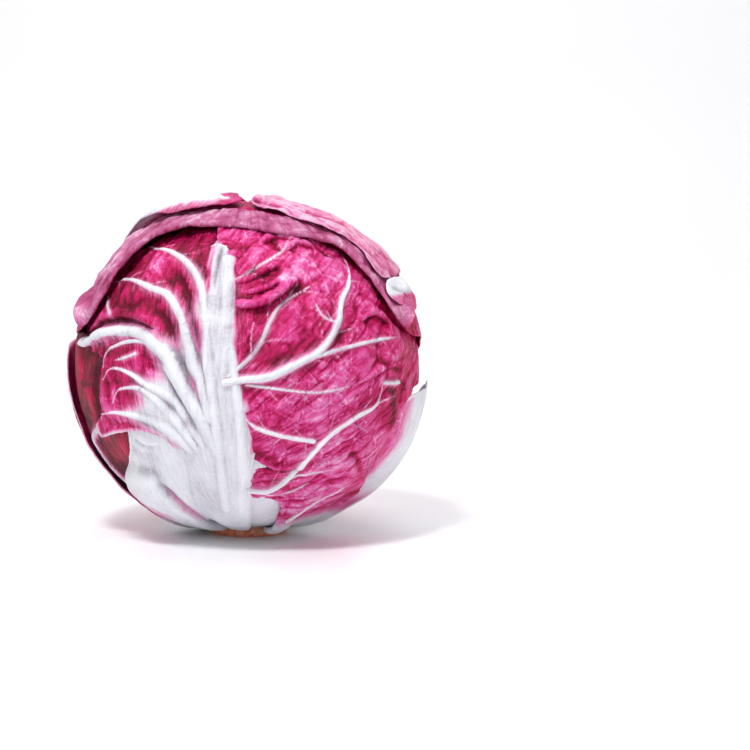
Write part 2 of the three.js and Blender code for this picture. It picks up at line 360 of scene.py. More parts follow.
class Surface:
    """What shapes and tints one leaf, gathered at every point of its grid."""

    def __init__(self, chart, flat, middle, lift, out):
        self.shape = flat.shape[:2]
        self.out = out.ravel()
        self.dirs = chart.to_dirs(flat).reshape(-1, 3)
        self.lon, self.lat = globe(self.dirs, middle[0])
        self.where = self.dirs * ARC
        self.height = ball_radius(self.dirs) + lift(self.lon, self.lat)
        self.relief = np.zeros(len(self.dirs))
        self.white = np.zeros(len(self.dirs))
        # tone makes the blade lighter or darker: random tone, plus painted light on ridges and painted shade in
        # creases, folds, dents and under lips
        self.tone = np.zeros(len(self.dirs))
        self.dust = np.zeros(len(self.dirs))
        # the lower right of the head takes the REDDER ramp: painted reflected light from the crimson leaves
        # beside it
        self.red = 0.7 * ramp(self.lon, 40, 78) * ramp(self.lat, -60, -40) * ramp(self.lon, 130, 110)
        self.to_vein = np.full(len(self.dirs), FAR_FROM_VEINS)

    def beside(self, points, reach):
        """The places within reach (mm) of a curve, with their distance, share along and side of it."""
        curve = on_sphere(points, 7 * len(points))
        middle = curve.mean(axis=0)
        bound = np.linalg.norm(curve - middle, axis=1).max() + reach
        near = np.nonzero(np.linalg.norm(self.where - middle, axis=1) < bound)[0]
        return near, *nearest(self.where[near], curve)

    def vein(self, points, width, height, white=1.0, halo=0.4, taper=0.3):
        """A rib along a curve: its half-width and its rise, in mm at its start and at its end."""
        near, gap, along, _ = self.beside(points, max(12.0, 3 * max(width)))
        where = self.where[near]
        half = (width[0] + (width[1] - width[0]) * along) * (1 + 0.2 * noise(where / 4, 5))
        rise = height[0] + (height[1] - height[0]) * along
        tip = 0.2 + 0.8 * ramp(1 - along, 0, taper)
        half = half * (0.4 + 0.6 * tip)
        arch = 0.5 + 0.5 * np.cos(np.pi * np.clip(gap / (1.7 * half), 0, 1))
        self.relief[near] = np.maximum(self.relief[near], tip * rise * arch)
        core = (0.5 + 0.5 * tip) * (1 - ramp(gap, 0.3 * half, 1.15 * half))
        glow = halo * tip * bell(gap / (1.0 + 1.6 * half))
        self.white[near] = np.maximum(self.white[near], white * np.maximum(core, glow))
        self.to_vein[near] = np.minimum(self.to_vein[near], gap / (0.6 + 0.4 * np.minimum(half, 2)))

    def twigs(self, points, length, turn, spacing, seed, width=0.2):
        """Thin side veins that leave both sides of a rib."""
        trunk = on_sphere(points, TRUNK_POINTS) / ARC
        rng = np.random.default_rng(seed)
        run = np.linalg.norm(np.diff(trunk, axis=0), axis=1).sum() * ARC
        count = max(2, int(run / spacing))
        for k in range(count):
            at = int((k + rng.uniform(0.3, 0.9)) / count * TRUNK_USED) + 2
            forward = trunk[at + 1] - trunk[at - 1]
            forward /= np.linalg.norm(forward)
            aside = np.cross(trunk[at], forward) * (1 if k % 2 else -1)
            reach = length * rng.uniform(0.6, 1.2) / ARC
            angle = math.radians(turn * rng.uniform(0.6, 1.1))
            curl = rng.uniform(-0.25, 0.35)
            path = []
            for step in np.linspace(0, 1, 5):
                now = angle - curl * step
                path.append(trunk[at] + reach * step * (forward * math.cos(now) + aside * math.sin(now)))
            dirs = np.array(path)
            dirs /= np.linalg.norm(dirs, axis=1, keepdims=True)
            path = np.stack(globe(dirs, self.lon.mean()), -1)
            self.vein(path, (width, width * 0.4), (0.3, 0.1), TWIG_WHITE)

    def step(self, points, rise, fall, reach, dark=0.5):
        """A fold's lip along a curve: raised on its left side, sunk on its right, where painted shade darkens
        it.
        """
        near, gap, along, side = self.beside(points, 2.5 * reach)
        ends = fade_ends(along, 0.15, 0.15)
        signed = gap * side
        lip = rise * ramp(signed, -0.15, 0.5) * bell(gap / (0.5 * reach))
        self.relief[near] += ends * (lip - fall * ramp(-signed, -0.15, 0.5) * bell(gap / reach))
        # painted shade under the fold's lip
        shade = ends * ramp(-signed, -0.3, 0.3) * bell(gap / (0.35 * reach))
        self.tone[near] -= dark * shade

    def whiten(self, amount):
        """Makes the leaf at least this white."""
        self.white = np.maximum(self.white, amount)

    def groove(self, points, width, depth, dark=0.4):
        """A soft furrow along a curve, darkened with painted shade."""
        near, gap, along, _ = self.beside(points, 3 * width)
        line = fade_ends(along, 0.2, 0.2) * bell(gap / width)
        self.relief[near] -= depth * line
        # painted shade in the furrow
        self.tone[near] -= dark * line

    def patch(self, lon, lat, size, tone=0.0, white=0.0, rise=0.0):
        """A soft round patch, size in mm."""
        gap = np.linalg.norm(self.where - ARC * direction(lon, lat), axis=1)
        soft = bell(gap / size)
        self.tone += tone * soft
        self.white = np.clip(self.white + white * soft, 0, 1)
        self.relief += rise * soft

    def all_of(self, kind, rows):
        """Adds one groove, step, patch or vein for each row of arguments."""
        for row in rows:
            getattr(self, kind)(*row)

    def flow(self, root, fan):
        """Coordinates that run along the leaf from its root, for streaks and wrinkles."""
        chart = Chart(root)
        flat = chart.to_flat(self.dirs)
        angle = np.arctan2(flat[:, 0], flat[:, 1])
        reach = np.linalg.norm(flat, axis=1)
        return np.stack([angle * fan, reach * ARC / FLOW_LENGTH, 0 * angle], -1)

    def crumple(self, flow, seed, waves, wrinkles, pucker, mesh):
        """Broad waves, wrinkles along the flow, and a blade that swells between its veins and veinlets."""
        calm = 1 - 0.9 * self.white
        self.relief += waves * noise(self.where / 15, seed) + 0.4 * waves * noise(self.where / 7, seed + 1)
        sway = noise(self.where / 5, seed + 2)[:, None]
        lines = creased(flow * (1.2, 0.7, 1.0) + 0.3 * sway, seed + 3, 3)
        folds = creased(self.where / 10 + 0.25 * sway, seed + 7, 2)
        self.relief += calm * wrinkles * (1.0 * lines + 0.7 * folds + 0.5)
        swell = 1 - bell(self.to_vein / 5)
        self.relief += pucker * swell * noise(self.where / 9, seed + 9)
        bent = self.where + 1.6 * np.stack([noise(self.where / 4, seed + k) for k in (21, 22, 23)], -1)
        for size, share in NETS:
            wall = cells(bent / size, seed + 30)
            there = ramp(noise(self.where / 11, seed + 5), -0.6, 0.2)
            line = share * (1 - ramp(wall * size, 0.1, 0.55)) * there
            self.relief += calm * mesh * share * (ramp(wall, 0, 0.5) - 0.6)
            self.tone += calm * (0.55 * line - 0.12 * share * (1 - ramp(wall, 0.05, 0.4)))
        self.tone += 0.35 * noise(self.where / 14, seed + 11) + 0.25 * noise(self.where / 5, seed + 12)
        # painted shade in the valleys of the wrinkles and folds, and painted light on their humps
        self.tone += calm * (0.35 * lines + 0.3 * folds + 0.2)

    def paint_relief_shading(self):
        """Paints light on the ridges and shade in the hollows between them, and dims the ribs towards the
        crown.
        """
        grid = self.relief.reshape(self.shape)
        proud = sum(grid - blurred(grid, reach) for reach in (4, 11)).ravel()
        self.tone += (0.5 + 0.1 * self.white) * np.clip(proud / 0.8, -1.1, 0.8)
        self.tone -= 0.65 * self.white * ramp(self.lat, -5, 50)


def blurred(grid, reach):
    """A grid averaged over squares that reach some points to each side."""
    for _ in range(2):
        run = np.cumsum(np.pad(grid, ((reach + 1, reach), (0, 0)), mode="edge"), axis=0)
        grid = ((run[2 * reach + 1 :] - run[: -2 * reach - 1]) / (2 * reach + 1)).T
    return grid


def leaf_outline(chart, outline, n, ragged, seed):
    """The margin as a closed curve on the chart, counter-clockwise, with a slightly ragged edge."""
    flat = chart.to_flat(places(outline))
    turn = flat[:, 0] * np.roll(flat[:, 1], -1) - flat[:, 1] * np.roll(flat[:, 0], -1)
    if turn.sum() < 0:
        flat = flat[::-1]
    curve = spline(flat, 4 * n, closed=True)
    where = ARC * chart.to_dirs(curve)
    swell = ragged * (0.7 * noise(where / 5, seed) + 0.3 * noise(where / 1.6, seed + 1)) / ARC
    reach = np.linalg.norm(curve, axis=1, keepdims=True)
    return curve * (1 + swell[:, None] / reach)


def margin_points(margin, n):
    """For each point of the grid, the margin point in line with it, and its share of the way out there."""
    out, around = square_places(n)
    at = around * len(margin)
    low = np.floor(at).astype(int) % len(margin)
    part = (at - np.floor(at))[..., None]
    return margin[low] * (1 - part) + margin[(low + 1) % len(margin)] * part, out


def finish_leaf(name, spec, surface, flow, out, lifted=0.0, coarser=3):
    """Turns a gathered surface into a closed leaf with its point values."""
    shape = surface.shape
    n = spec["grid"]
    radius = (surface.height + surface.relief).reshape(shape) + lifted
    points = CENTRE + surface.dirs.reshape(*shape, 3) * radius[..., None]
    thin = spec.get("thickness", 0.7) * (1 - 0.5 * ramp(out, 0.95, 1.0))
    thick = thin + spec.get("stout", 1.4) * ramp(-surface.lat, 46, 70).reshape(shape)
    fields = {
        "white": surface.white.reshape(shape),
        "tone": surface.tone.reshape(shape),
        "red": surface.red.reshape(shape),
        "dust": surface.dust.reshape(shape),
        "flow": flow.reshape(*shape, 3),
    }
    return shell(name, points, thin / 2, thick - thin / 2, fields, n, coarser)


def dress_surface(spec, surface):
    """Adds the leaf's own veins and folds, then its white base, its crumples, and painted light and shade on
    its relief. Returns its flow.
    """
    flow = surface.flow(spec["root"], spec.get("fan", 9.0))
    spec["dress"](surface)
    surface.whiten(ramp(-surface.lat, 52, 68))
    surface.crumple(flow, spec["seed"], *spec["crumple"])
    surface.paint_relief_shading()
    return flow


def leaf(name, spec):
    """One leaf that lies along the head."""
    chart = Chart(spec["middle"])
    margin = leaf_outline(chart, spec["outline"], spec["grid"], spec.get("ragged", 0.8), spec["seed"])
    edge, out = margin_points(margin, spec["grid"])
    surface = Surface(chart, edge * out[..., None], spec["middle"], spec["lift"], out)
    flow = dress_surface(spec, surface)
    return finish_leaf(name, spec, surface, flow, out)


FOLD_RADIUS = 0.55
FOLD_BAND = 11.0
TOOTH = 2.2  # millimetres across one tooth of the folded margin


def folded_leaf(name, spec):
    """The hood: its front margin turns outwards through half a circle and lies back over the leaf."""
    chart = Chart(spec["middle"])
    margin = leaf_outline(chart, spec["outline"], spec["grid"], 0.5, spec["seed"])
    edge, out = margin_points(margin, spec["grid"])
    reach = ARC * np.linalg.norm(edge, axis=-1)
    lon, lat = globe(chart.to_dirs(edge), 180)
    share = frontness(lon, lat) * ramp(lat, 8, 26)
    turn = np.pi * ramp(share, 0.0, 0.45) * ramp(lat, 8, 20)
    teeth = layered(ARC * chart.to_dirs(edge) / TOOTH, 71, 3)
    aside = chart.to_dirs(edge)[..., 0]
    wider = 1 + 0.7 * ramp(-aside, 0.3, 0.62) * ramp(lat, 14, 30)
    band = FOLD_BAND * wider * ramp(share, 0.15, 0.7) * (1 + 0.07 * teeth)
    run = (1 - (1 - out) ** 1.7) * (reach + FOLD_RADIUS * turn + band)
    past = np.maximum(run - reach, 0)
    angle = np.minimum(past / FOLD_RADIUS, turn)
    straight = past - FOLD_RADIUS * angle
    ahead = FOLD_RADIUS * np.sin(angle) + straight * np.cos(turn)
    above = FOLD_RADIUS * (1 - np.cos(angle)) + straight * np.sin(turn)
    along = np.where(past > 0, reach + ahead, run)
    flat = edge * (along / np.maximum(reach, 1e-6))[..., None]
    surface = Surface(chart, flat, spec["middle"], spec["lift"], out)
    surface.band = (ramp(angle, 0.2, 1.2) * ramp(share, 0.1, 0.5)).ravel()
    flow = dress_surface(spec, surface)
    return finish_leaf(name, spec, surface, flow, out, lifted=above, coarser=1)


# ---- each leaf's shape and markings


# A vein's row is its points, half-widths and heights, and then its white, halo and taper where they
# aren't the usual ones. A groove's is its points, width, depth and dark; a step's its points, rise,
# fall, reach and dark; a patch's its longitude, latitude, size, tone, white and rise.
# A groove's and a step's dark is painted shade, in the furrow and under the lip.


def dress_strip(s):
    """The deep crimson strip at the far left, darkened with painted shade, with a pale edge."""
    # painted shade: the strip lies in shadow, so its tone is lowered and it takes the dark stops of REDDER
    s.tone -= 0.95
    s.red += 0.9
    edge = [(-66, -20), (-78, -26), (-79, -32), (-77, -40), (-75, -47), (-70, -58)]
    s.vein(edge, (0.8, 0.6), (0.9, 0.5), taper=0.1)
    s.patch(-72, -4, 8, tone=0.35, rise=0.6)
    s.groove([(-58, 6), (-64, -6), (-64, -16), (-70, -24)], 1.6, 0.8, 0.4)


# The sunk patches are darkened with painted shade.
LOBE_PATCHES = [
    (-46, -41, 7, 0, 0, 1.6),
    (-50, -50, 10, 0, 0, 1.8),
    (-40, -24, 6, 0, 0, 0.8),
    (-37, -29, 4, -0.8, 0, -0.9),
    (-44, -26, 3, -0.5, 0, -0.4),
]
LOBE_CREASE = [(-30, -74), (-32, -62), (-35, -51), (-37, -42), (-41, -36)]


def crease_lobe(s):
    """The white lobe's fold over the base of the front leaf, with a pink painted shadow beside it."""
    s.relief += 2.0 * ramp(-s.lon - 0.3 * (s.lat + 60), 30, 32.5) * ramp(-s.lat, 31, 38)
    s.groove([(lon + 1.5, lat) for lon, lat in LOBE_CREASE], 1.0, 1.6, 1.0)
    near, gap, along, side = s.beside(LOBE_CREASE, 8)
    # painted shadow cast by the lobe onto the base beside the crease, which turns the white there pinker
    pink_tint = 0.6 * ramp(-side * gap, -1.0, 1.2) * np.exp(-gap / 2.2)
    s.white[near] -= pink_tint * fade_ends(along, 0.4, 0.3)


def dress_lower_left(s):
    """The white bulging lobe at the lower left, pinker and lined outwards."""
    s.whiten(0.85 - 0.2 * ramp(-s.lon, 50, 62) * ramp(-s.lat, 30, 45))
    s.tone += 0.5
    # painted shade on the lobe's top, under the front leaf's flap
    s.tone -= 0.5 * ramp(s.lat, -23, -18)
    s.all_of("patch", LOBE_PATCHES)
    s.groove([(-48, -33), (-42, -34), (-35, -33)], 2.0, 0.9, 0.3)
    s.groove([(-44, -21), (-38, -24), (-30, -24)], 1.0, 0.7, 0.4)
    crease_lobe(s)
    pinker = ramp(-s.lat, 44, 52) * ramp(s.lat, -72, -60) * ramp(-s.lon, 40, 46)
    s.white -= pinker * (0.25 + 0.2 * noise(s.where * (0.5, 0.5, 0.12), 44))
    for lon in (-50, -56, -61, -66):
        near, gap, along, _ = s.beside([(lon + 3, -72), (lon, -62), (lon - 1, -52), (lon + 2, -45)], 4.0)
        line = bell(gap / 0.8) * fade_ends(along, 0.3, 0.4)
        s.white[near] -= 0.5 * line
        s.relief[near] -= 0.5 * line
    edge = [(-45, -18), (-46, -24), (-49, -28), (-55, -35), (-62, -41), (-74, -50)]
    s.vein(edge, (0.7, 0.5), (0.9, 0.4))


FRONT_RIBS = [
    ([(-77, 49), (-57, 49), (-46, 48), (-33, 45), (-23, 40), (-17, 34), (-13, 24), (-10, 8), (-8, -10)],
     (0.7, 2.0), (1.0, 1.7)),
    ([(-73, 31), (-61, 33), (-50, 33), (-39, 31), (-30, 29), (-24, 24), (-19, 15), (-14, 4), (-10, -12)],
     (0.35, 2.4), (0.5, 1.7)),
    ([(-85, 6), (-69, 10), (-57, 13.5), (-47, 15), (-39, 15), (-32, 13), (-25, 7), (-20, 0),
      (-14, -10), (-8, -26)], (1.9, 2.4), (2.6, 1.6)),
    ([(-54, 2), (-54, 7), (-48, 10), (-41, 12), (-34, 12), (-28, 8), (-22, 0), (-15, -12), (-9, -28)],
     (0.5, 1.9), (0.6, 1.3)),
    ([(-54, -2), (-50, 2), (-45, 2.4), (-39, 1), (-33, -2), (-27, -4), (-20, -10), (-12, -24)],
     (0.3, 2.0), (0.4, 1.3)),
    ([(-48, -9), (-46, -5), (-42, -3.6), (-36, -3.4), (-30, -6), (-24, -12), (-14, -26)],
     (0.3, 1.8), (0.4, 1.0)),
    ([(-58, -14), (-48, -12), (-38, -12), (-28, -15), (-16, -26)], (0.3, 1.8), (0.3, 0.9)),
    ([(-71, 27), (-61, 23), (-55, 20)], (0.35, 0.25), (0.3, 0.2)),
    ([(-48, 5), (-44, 6), (-38, 8)], (0.25, 0.25), (0.3, 0.2)),
]


COLUMN = [(-2, -78), (-3, -50), (-3, -25), (-5, -4), (-7, 14), (-8.5, 32), (-9, 43)]
COLUMN_VEINS = [
    (COLUMN, (11.5, 4.6), (1.6, 1.2), 1.0, 0.2, 0.06),
    ([(-8, 10), (-10, 34), (-14.5, 54)], (6.0, 4.2), (1.3, 1.3), 0.9, 0.3, 0.08),
    ([(-5, 20), (-6, 36), (-7, 47)], (3.4, 2.6), (1.7, 2.0), 1.0, 0.2, 0.1),
]
BASE_VEINS = [
    ([(-14, -60), (-13, -35), (-12, -14)], (9.0, 5.0), (1.2, 1.4), 1.0, 0.2),
    ([(-30, -62), (-24, -42), (-15, -24)], (10.0, 4.0), (0.9, 1.0), 1.0, 0.2),
    ([(8, -78), (12, -55), (6, -40)], (8.0, 4.0), (0.6, 0.6), 1.0, 0.2),
]
# The sunk patches are darkened with painted shade.
FRONT_PATCHES = [
    (-27, -6, 8, 0, 0.5),
    (-21, -15, 9, 0, 0.6),
    (-33, -11, 6, 0, 0.3),
    (-19, 6, 6, 0, 0.5),
    (-14, 24, 4, 0, 0.4),
    (-25, 3, 4, 0, 0.25),
    (-26, 10, 4, 0, 0.3),
    (-24, -9, 3.5, -0.25, 0, -1.3),
    (-18, -14, 3.5, -0.25, 0, -1.0),
    (-28, 6, 3, -0.25, 0, -1.2),
    (-16, 14, 3, -0.25, 0, -0.8),
    (-32, -14, 4, -0.25, 0, -0.7),
    (-21, 20, 3, -0.25, 0, -1.0),
    (-14, 36, 3, -0.25, 0, -0.8),
    (-50, -14, 7, 0.8),
    (-44, 2, 6, 0.2),
    (-50, 26, 7, -0.1, 0, 1.2),
    (-42, 41, 7, 0.25, 0, 1.4),
    (-30, 35, 4, -0.3, 0, -0.8),
    (-46, 22, 5, -0.45, 0, -0.8),
]
FRONT_GROOVES = [
    ([(-33, 40), (-25, 34), (-20, 26), (-15, 12), (-12, 0)], 1.3, 1.3, 0.4),
    ([(-36, 24), (-28, 20), (-22, 10), (-17, 0), (-13, -10)], 1.4, 1.3, 0.4),
    ([(-34, 5), (-27, 2), (-20, -8), (-14, -20)], 1.2, 1.2, 0.3),
    ([(-60, 3), (-60, 9), (-50, 6)], 2.0, 0.8, 0.5),
]


def front_column(s):
    """The broad white midrib, split at its top, and the white base it grows from."""
    s.all_of("vein", COLUMN_VEINS)
    s.groove([(-12, 53), (-11, 44), (-10.5, 30)], 0.9, 0.6, 0.3)
    for lon in (-13.5, -16.5, -19):
        near, gap, along, _ = s.beside([(lon + 1.5, 26), (lon, 38), (lon - 2, 50)], 4.0)
        s.white[near] -= 0.55 * bell(gap / 0.9) * ramp(along, 0, 0.3)
    s.all_of("vein", BASE_VEINS)
    s.whiten(0.95 * ramp(-s.lat, 20, 28))
    for lon, top in ((0, 22), (-8, 24)):
        ridge = [(lon - 1, -50), (lon, -20), (lon - 3, 10), (lon - 5, top)]
        s.vein(ridge, (2.6, 1.8), (1.9, 1.9), halo=0)


def dress_front_rib(s):
    """The front leaf: its midrib, the fan of ribs to the left, and its free flap."""
    front_column(s)
    for points, width, height in FRONT_RIBS:
        taper = 0.06 if width[0] > 1 else 0.45
        s.vein(points[::-1], width[::-1], height[::-1], taper=taper)
    for points, *_ in FRONT_RIBS[:2]:
        s.twigs(points[:5], 7, 50, 8, len(points))
    # a fold above the thick rib, with painted shade below its lip
    s.step([(-76, 12), (-60, 18), (-48, 20), (-38, 19), (-30, 16)], 1.0, 1.6, 6, 1.0)
    s.all_of("patch", FRONT_PATCHES)
    s.all_of("groove", FRONT_GROOVES)
    flap = ramp(-s.lat, 12, 19) * ramp(-s.lon, 24, 34)
    s.whiten(0.55 * flap * ramp(s.out, 0.94, 0.99))
    s.relief += 0.8 * flap * ramp(s.out, 0.9, 1.0)
    s.relief = np.where(s.lon > 0, np.minimum(s.relief, 2.0 - 1.7 * ramp(s.lon, 0, 5)), s.relief)
    s.tone -= 0.45 * (1 - s.white)


def dress_right_outer(s):
    """The leaf at the lower right, with a white margin."""
    s.vein([(92, -76), (93, -50), (90, -26), (88, -8)], (3.0, 1.0), (1.6, 0.5))
    s.twigs([(92, -60), (93, -45), (90, -26), (88, -10)], 18, 40, 6, 3)
    pale = ramp(s.lon, 66, 80) * ramp(s.lat, -62, -40)
    s.whiten(np.maximum(0.75 * pale, ramp(s.out, 0.93, 0.985)))
    s.red *= 0.3
    s.tone += 0.5


RIGHT_RIBS = [
    ([(-6, 0), (0, 1), (9, 2), (16, 5), (26, 9.5), (35, 19), (39, 26), (45, 31), (51, 37), (57, 45)],
     (1.35, 0.4), (1.9, 0.5)),
    ([(25, 8), (34, 9.7), (50, 11.4), (66, 11)], (0.5, 0.2), (0.8, 0.3)),
    ([(-4, 2), (4, 9), (7, 13.5), (10, 19.5), (15, 26), (23, 30), (31, 33)], (0.55, 0.2), (1.0, 0.3)),
    ([(2, -0.5), (13, -2), (25, -3.6), (42, -1.6)], (0.3, 0.15), (0.6, 0.2)),
    ([(25, -20), (17, -18.4), (10, -16.5), (4, -14), (0, -10)], (0.6, 0.5), (0.9, 0.7)),
    ([(-1, -39), (9, -39.5), (14, -37), (24, -25.5), (30, -19), (41, -12.7), (50, -8.4), (51.5, -2)],
     (1.1, 0.4), (1.6, 0.5)),
    ([(26, -58), (32, -51), (42, -45), (54, -38)], (0.4, 0.2), (0.8, 0.3)),
    ([(8, -41), (20, -41.5), (28, -38)], (0.3, 0.2), (0.3, 0.1)),
    ([(-4, 34), (3, 38), (10, 41.6), (21, 48), (31, 56)], (0.3, 0.25), (0.6, 0.4)),
    ([(35, 18), (29, 21), (27, 27)], (0.3, 0.2), (0.3, 0.2)),
    ([(12, -38), (22, -33), (36, -31)], (0.3, 0.2), (0.4, 0.2)),
]


# The pocket folds and tear lips, each with painted shade under its lip.
WRAPPER_STEPS = [
    ([(-5, 26.5), (-1, 25), (3.6, 24.7), (8, 25.4), (14, 28), (19, 31.6), (25, 35)], 2.0, 2.4, 6, 2.0),
    ([(-5, 34), (0, 34), (6, 36), (12, 39), (18, 41)], 1.3, 1.3, 3.5, 1.4),
    ([(-3, 30.5), (4, 30), (10, 31), (16, 34)], 1.1, 1.0, 2.5, 1.2),
    ([(22, 47), (30, 50), (40, 48)], 0.8, 0.8, 4, 0.8),
    ([(10, 52), (20, 55), (30, 52)], 0.8, 0.8, 4, 0.8),
    ([(4, -26), (12, -30), (24, -29)], 0.8, 1.0, 5, 0.6),
    ([(40, -2), (50, 1), (62, 2)], 0.7, 0.8, 5, 0.5),
    ([(44, 18), (54, 20), (62, 16)], 0.7, 0.8, 4, 0.6),
    ([(62, -3), (57, -2.6), (52, -2)], 0.6, 0.9, 4, 0.7),
]
# Painted shade in the slits of the tears.
TEAR_GROOVES = [
    ([(0, 30), (2, 28.5), (5, 28)], 0.9, 1.0, 1.0),
    ([(53, -3), (58, -7), (59.5, -12), (60, -16), (57, -20)], 1.5, 2.0, 1.0),
]
WRAPPER_GROOVES = [
    ([(4, -46), (16, -43), (26, -38), (34, -30)], 1.8, 0.9, 0.4),
    ([(24, 62), (18, 52), (22, 44)], 1.4, 1.0, 0.5),
    ([(36, 55), (44, 46), (50, 42)], 1.4, 1.0, 0.5),
    ([(3, -22), (10, -27), (24, -28)], 2.2, 0.7, 0.4),
    ([(40, -24), (48, -30), (54, -36)], 1.6, 0.9, 0.4),
    ([(48, 6), (58, 2), (66, 0)], 1.5, 0.8, 0.3),
    ([(56, 24), (66, 16), (74, 12)], 1.6, 0.8, 0.4),
]
WRAPPER_PATCHES = [
    (3, -27, 8, -0.5),
    (6, 12, 6, -0.35),
    (6, 33, 6, -0.35),
    (30, -34, 9, 0.3),
    (20, -10, 8, 0.25),
    (32, 3, 7, 0.35),
    (17, 12, 6, 0.25),
    (42, 34, 8, 0.2),
]


def dress_right_wrapper(s):
    """The large leaf over the right of the front: curling ribs, pocket fold, tear and torn left edge."""
    for points, width, height in RIGHT_RIBS:
        s.vein(points, width, height, white=0.7 + 0.2 * min(width[0], 1.5))
    for k, (points, *_) in enumerate(RIGHT_RIBS):
        s.twigs(points, 12 if k in (0, 2, 5) else 7, 46, 6.5, 20 + k, 0.15)
    s.all_of("step", WRAPPER_STEPS)
    s.all_of("groove", TEAR_GROOVES)
    s.vein([(52, -2.6), (57, -3.2), (63, -3.6)], (0.3, 0.3), (0.5, 0.5), taper=0.1)
    s.all_of("groove", WRAPPER_GROOVES)
    s.all_of("patch", WRAPPER_PATCHES)
    s.tone += 0.25 * ramp(-s.lat, 4, 30)
    torn = ramp(s.out, 0.965, 1.0) * ramp(s.lon, 24, 8) * ramp(s.lat, 60, 50)
    s.tone += 0.6 * torn
    s.relief -= 1.1 * ramp(s.lon, 14, -2) * ramp(s.lat, 60, 48)


def dress_hood(s):
    """The hood: its back ribs, and the dusty, wrinkled band where its margin is folded back."""
    s.vein([(180, -78), (180, -45), (180, -10), (178, 30), (170, 70)], (7.0, 1.4), (0.5, 0.2))
    ribs = product((-1, 1), ((-60, -20), (-35, 8), (-8, 34), (20, 58)))
    for side, (low, high) in ribs:
        aside = ((0, low), (22, low + 16), (46, high - 4), (78, high))
        path = [(180 + side * lon, lat) for lon, lat in aside]
        s.vein(path, (1.6, 0.4), (0.8, 0.2))
        s.twigs(path, 11, 45, 9, 140 + low + side)
    s.dust += s.band
    s.tone += 0.15 * s.band
    wrinkled = creased(s.where / 6, 79, 3) + 0.4
    s.relief += s.band * (0.5 * noise(s.where / 6, 78) + 0.6 * wrinkled)
    # painted shade in the valleys of the band's wrinkles, and painted light on their humps
    s.tone += s.band * (0.5 * wrinkled + 0.3 * noise(s.where / 7, 80))
    specks = ramp(s.out, 0.975, 1.0) * ramp(noise(s.where / 1.4, 77), 0.15, 0.5) * s.band
    s.whiten(0.7 * specks)


def dress_left_outer(s):
    """The leaf that stands out along the left outline, dark inside."""
    s.vein([(-112, -76), (-112, -45), (-108, -15), (-102, 4)], (4.5, 1.0), (1.6, 0.4))
    s.twigs([(-112, -66), (-112, -45), (-108, -15), (-102, 2)], 20, 42, 6, 4)
    s.whiten(0.5 * ramp(s.out, 0.96, 0.99) * ramp(s.lat, -60, -40))
    # painted shade on the leaf's shaded inner face, through the dark stops of REDDER
    s.red += 0.5
    s.tone += 0.05


SIDE_RIB_WIDTH = (1.0, 0.3)


def side_ribs(s, rows, toward, up, rise):
    """Curved ribs from (start, low) to (end, high), bent at a share of the way along and up."""
    for start, low, end, high in rows:
        middle = (start + toward * (end - start), low + up * (high - low))
        s.vein([(start, low), middle, (end, high)], SIDE_RIB_WIDTH, (rise, 0.3))


TOP_LEFT_RIB = [(-166, -72), (-158, -40), (-146, -5), (-126, 26), (-106, 42), (-90, 54), (-74, 64),
                (-52, 70.5), (-26, 75)]
TOP_LEFT_SIDES = ((-161, -50, -180, -28), (-155, -28, -183, 4), (-147, -6, -184, 34), (-132, 18, -182, 62),
                  (-108, 35, -140, 76))
TOP_RIGHT_RIB = [(176, -68), (168, -36), (156, 4), (140, 40), (104, 62), (60, 70), (30, 75)]
TOP_RIGHT_SIDES = ((170, -44, 146, -28), (165, -24, 128, -4), (158, -2, 112, 20), (148, 26, 94, 34),
                   (126, 50, 76, 44), (168, -34, 190, -8), (160, -8, 188, 22), (146, 30, 182, 58),
                   (120, 55, 140, 80))


def dress_top_left(s):
    """The leaf along the top left outline, with a thick white midrib."""
    s.vein(TOP_LEFT_RIB, (3.6, 3.8), (1.8, 2.6), taper=0.02)
    s.twigs(TOP_LEFT_RIB, 18, 44, 7, 5)
    side_ribs(s, TOP_LEFT_SIDES, 0.4, 0.55, 0.9)
    for start, low, end, high in ((-150, -14, -141, 6), (-134, 14, -112, 30), (-140, 6, -124, 20)):
        s.vein([(start, low), (end, high)], (0.6, 0.3), (0.6, 0.3))
    s.tone += 0.4 * ramp(s.lon, -120, -80)
    s.vein([(-56, 66), (-44, 72), (-30, 75)], (0.8, 0.4), (0.5, 0.3))
    s.patch(-40, 73, 4, white=0.4)


def dress_top_right(s):
    """The pink leaf along the top right outline, dusty in front."""
    s.vein(TOP_RIGHT_RIB, (4.0, 0.4), (1.8, 0.4))
    s.twigs(TOP_RIGHT_RIB, 16, 46, 6, 6)
    side_ribs(s, TOP_RIGHT_SIDES, 0.5, 0.6, 0.8)
    s.whiten(0.4 * ramp(s.out, 0.98, 0.995))
    s.tone += 0.4 + 0.45 * frontness(s.lon, s.lat)
    s.dust += 0.5 * frontness(s.lon, s.lat)
    s.patch(14, 74, 5, tone=-0.5)
    s.groove([(16, 80), (26, 74), (38, 68)], 2.0, 1.2, 0.4)
    s.groove([(50, 66), (60, 58), (72, 52)], 2.0, 1.2, 0.4)


def dress_side_curl(s):
    """The small curl at the right outline, white along its top."""
    s.whiten(0.9 * ramp(s.lat, 22, 26))
    s.tone += 0.5
    s.patch(72, 26, 3, rise=1.2)
    s.groove([(62, 27), (68, 25), (74, 23)], 0.8, 0.6, 0.3)


# ---- how far each leaf stands off the ball


def left_strip_lift(lon, lat):
    return -1.5 + 1.6 * near_base(lat) + 3.4 * ramp(-lon, 60, 82) * ramp(lat, -76, -56)


def lower_left_lift(lon, lat):
    return -0.4 + 1.3 * ramp(-lat, 30, 40) * ramp(-lon, 22, 34) + 0.5 * near_base(lat)


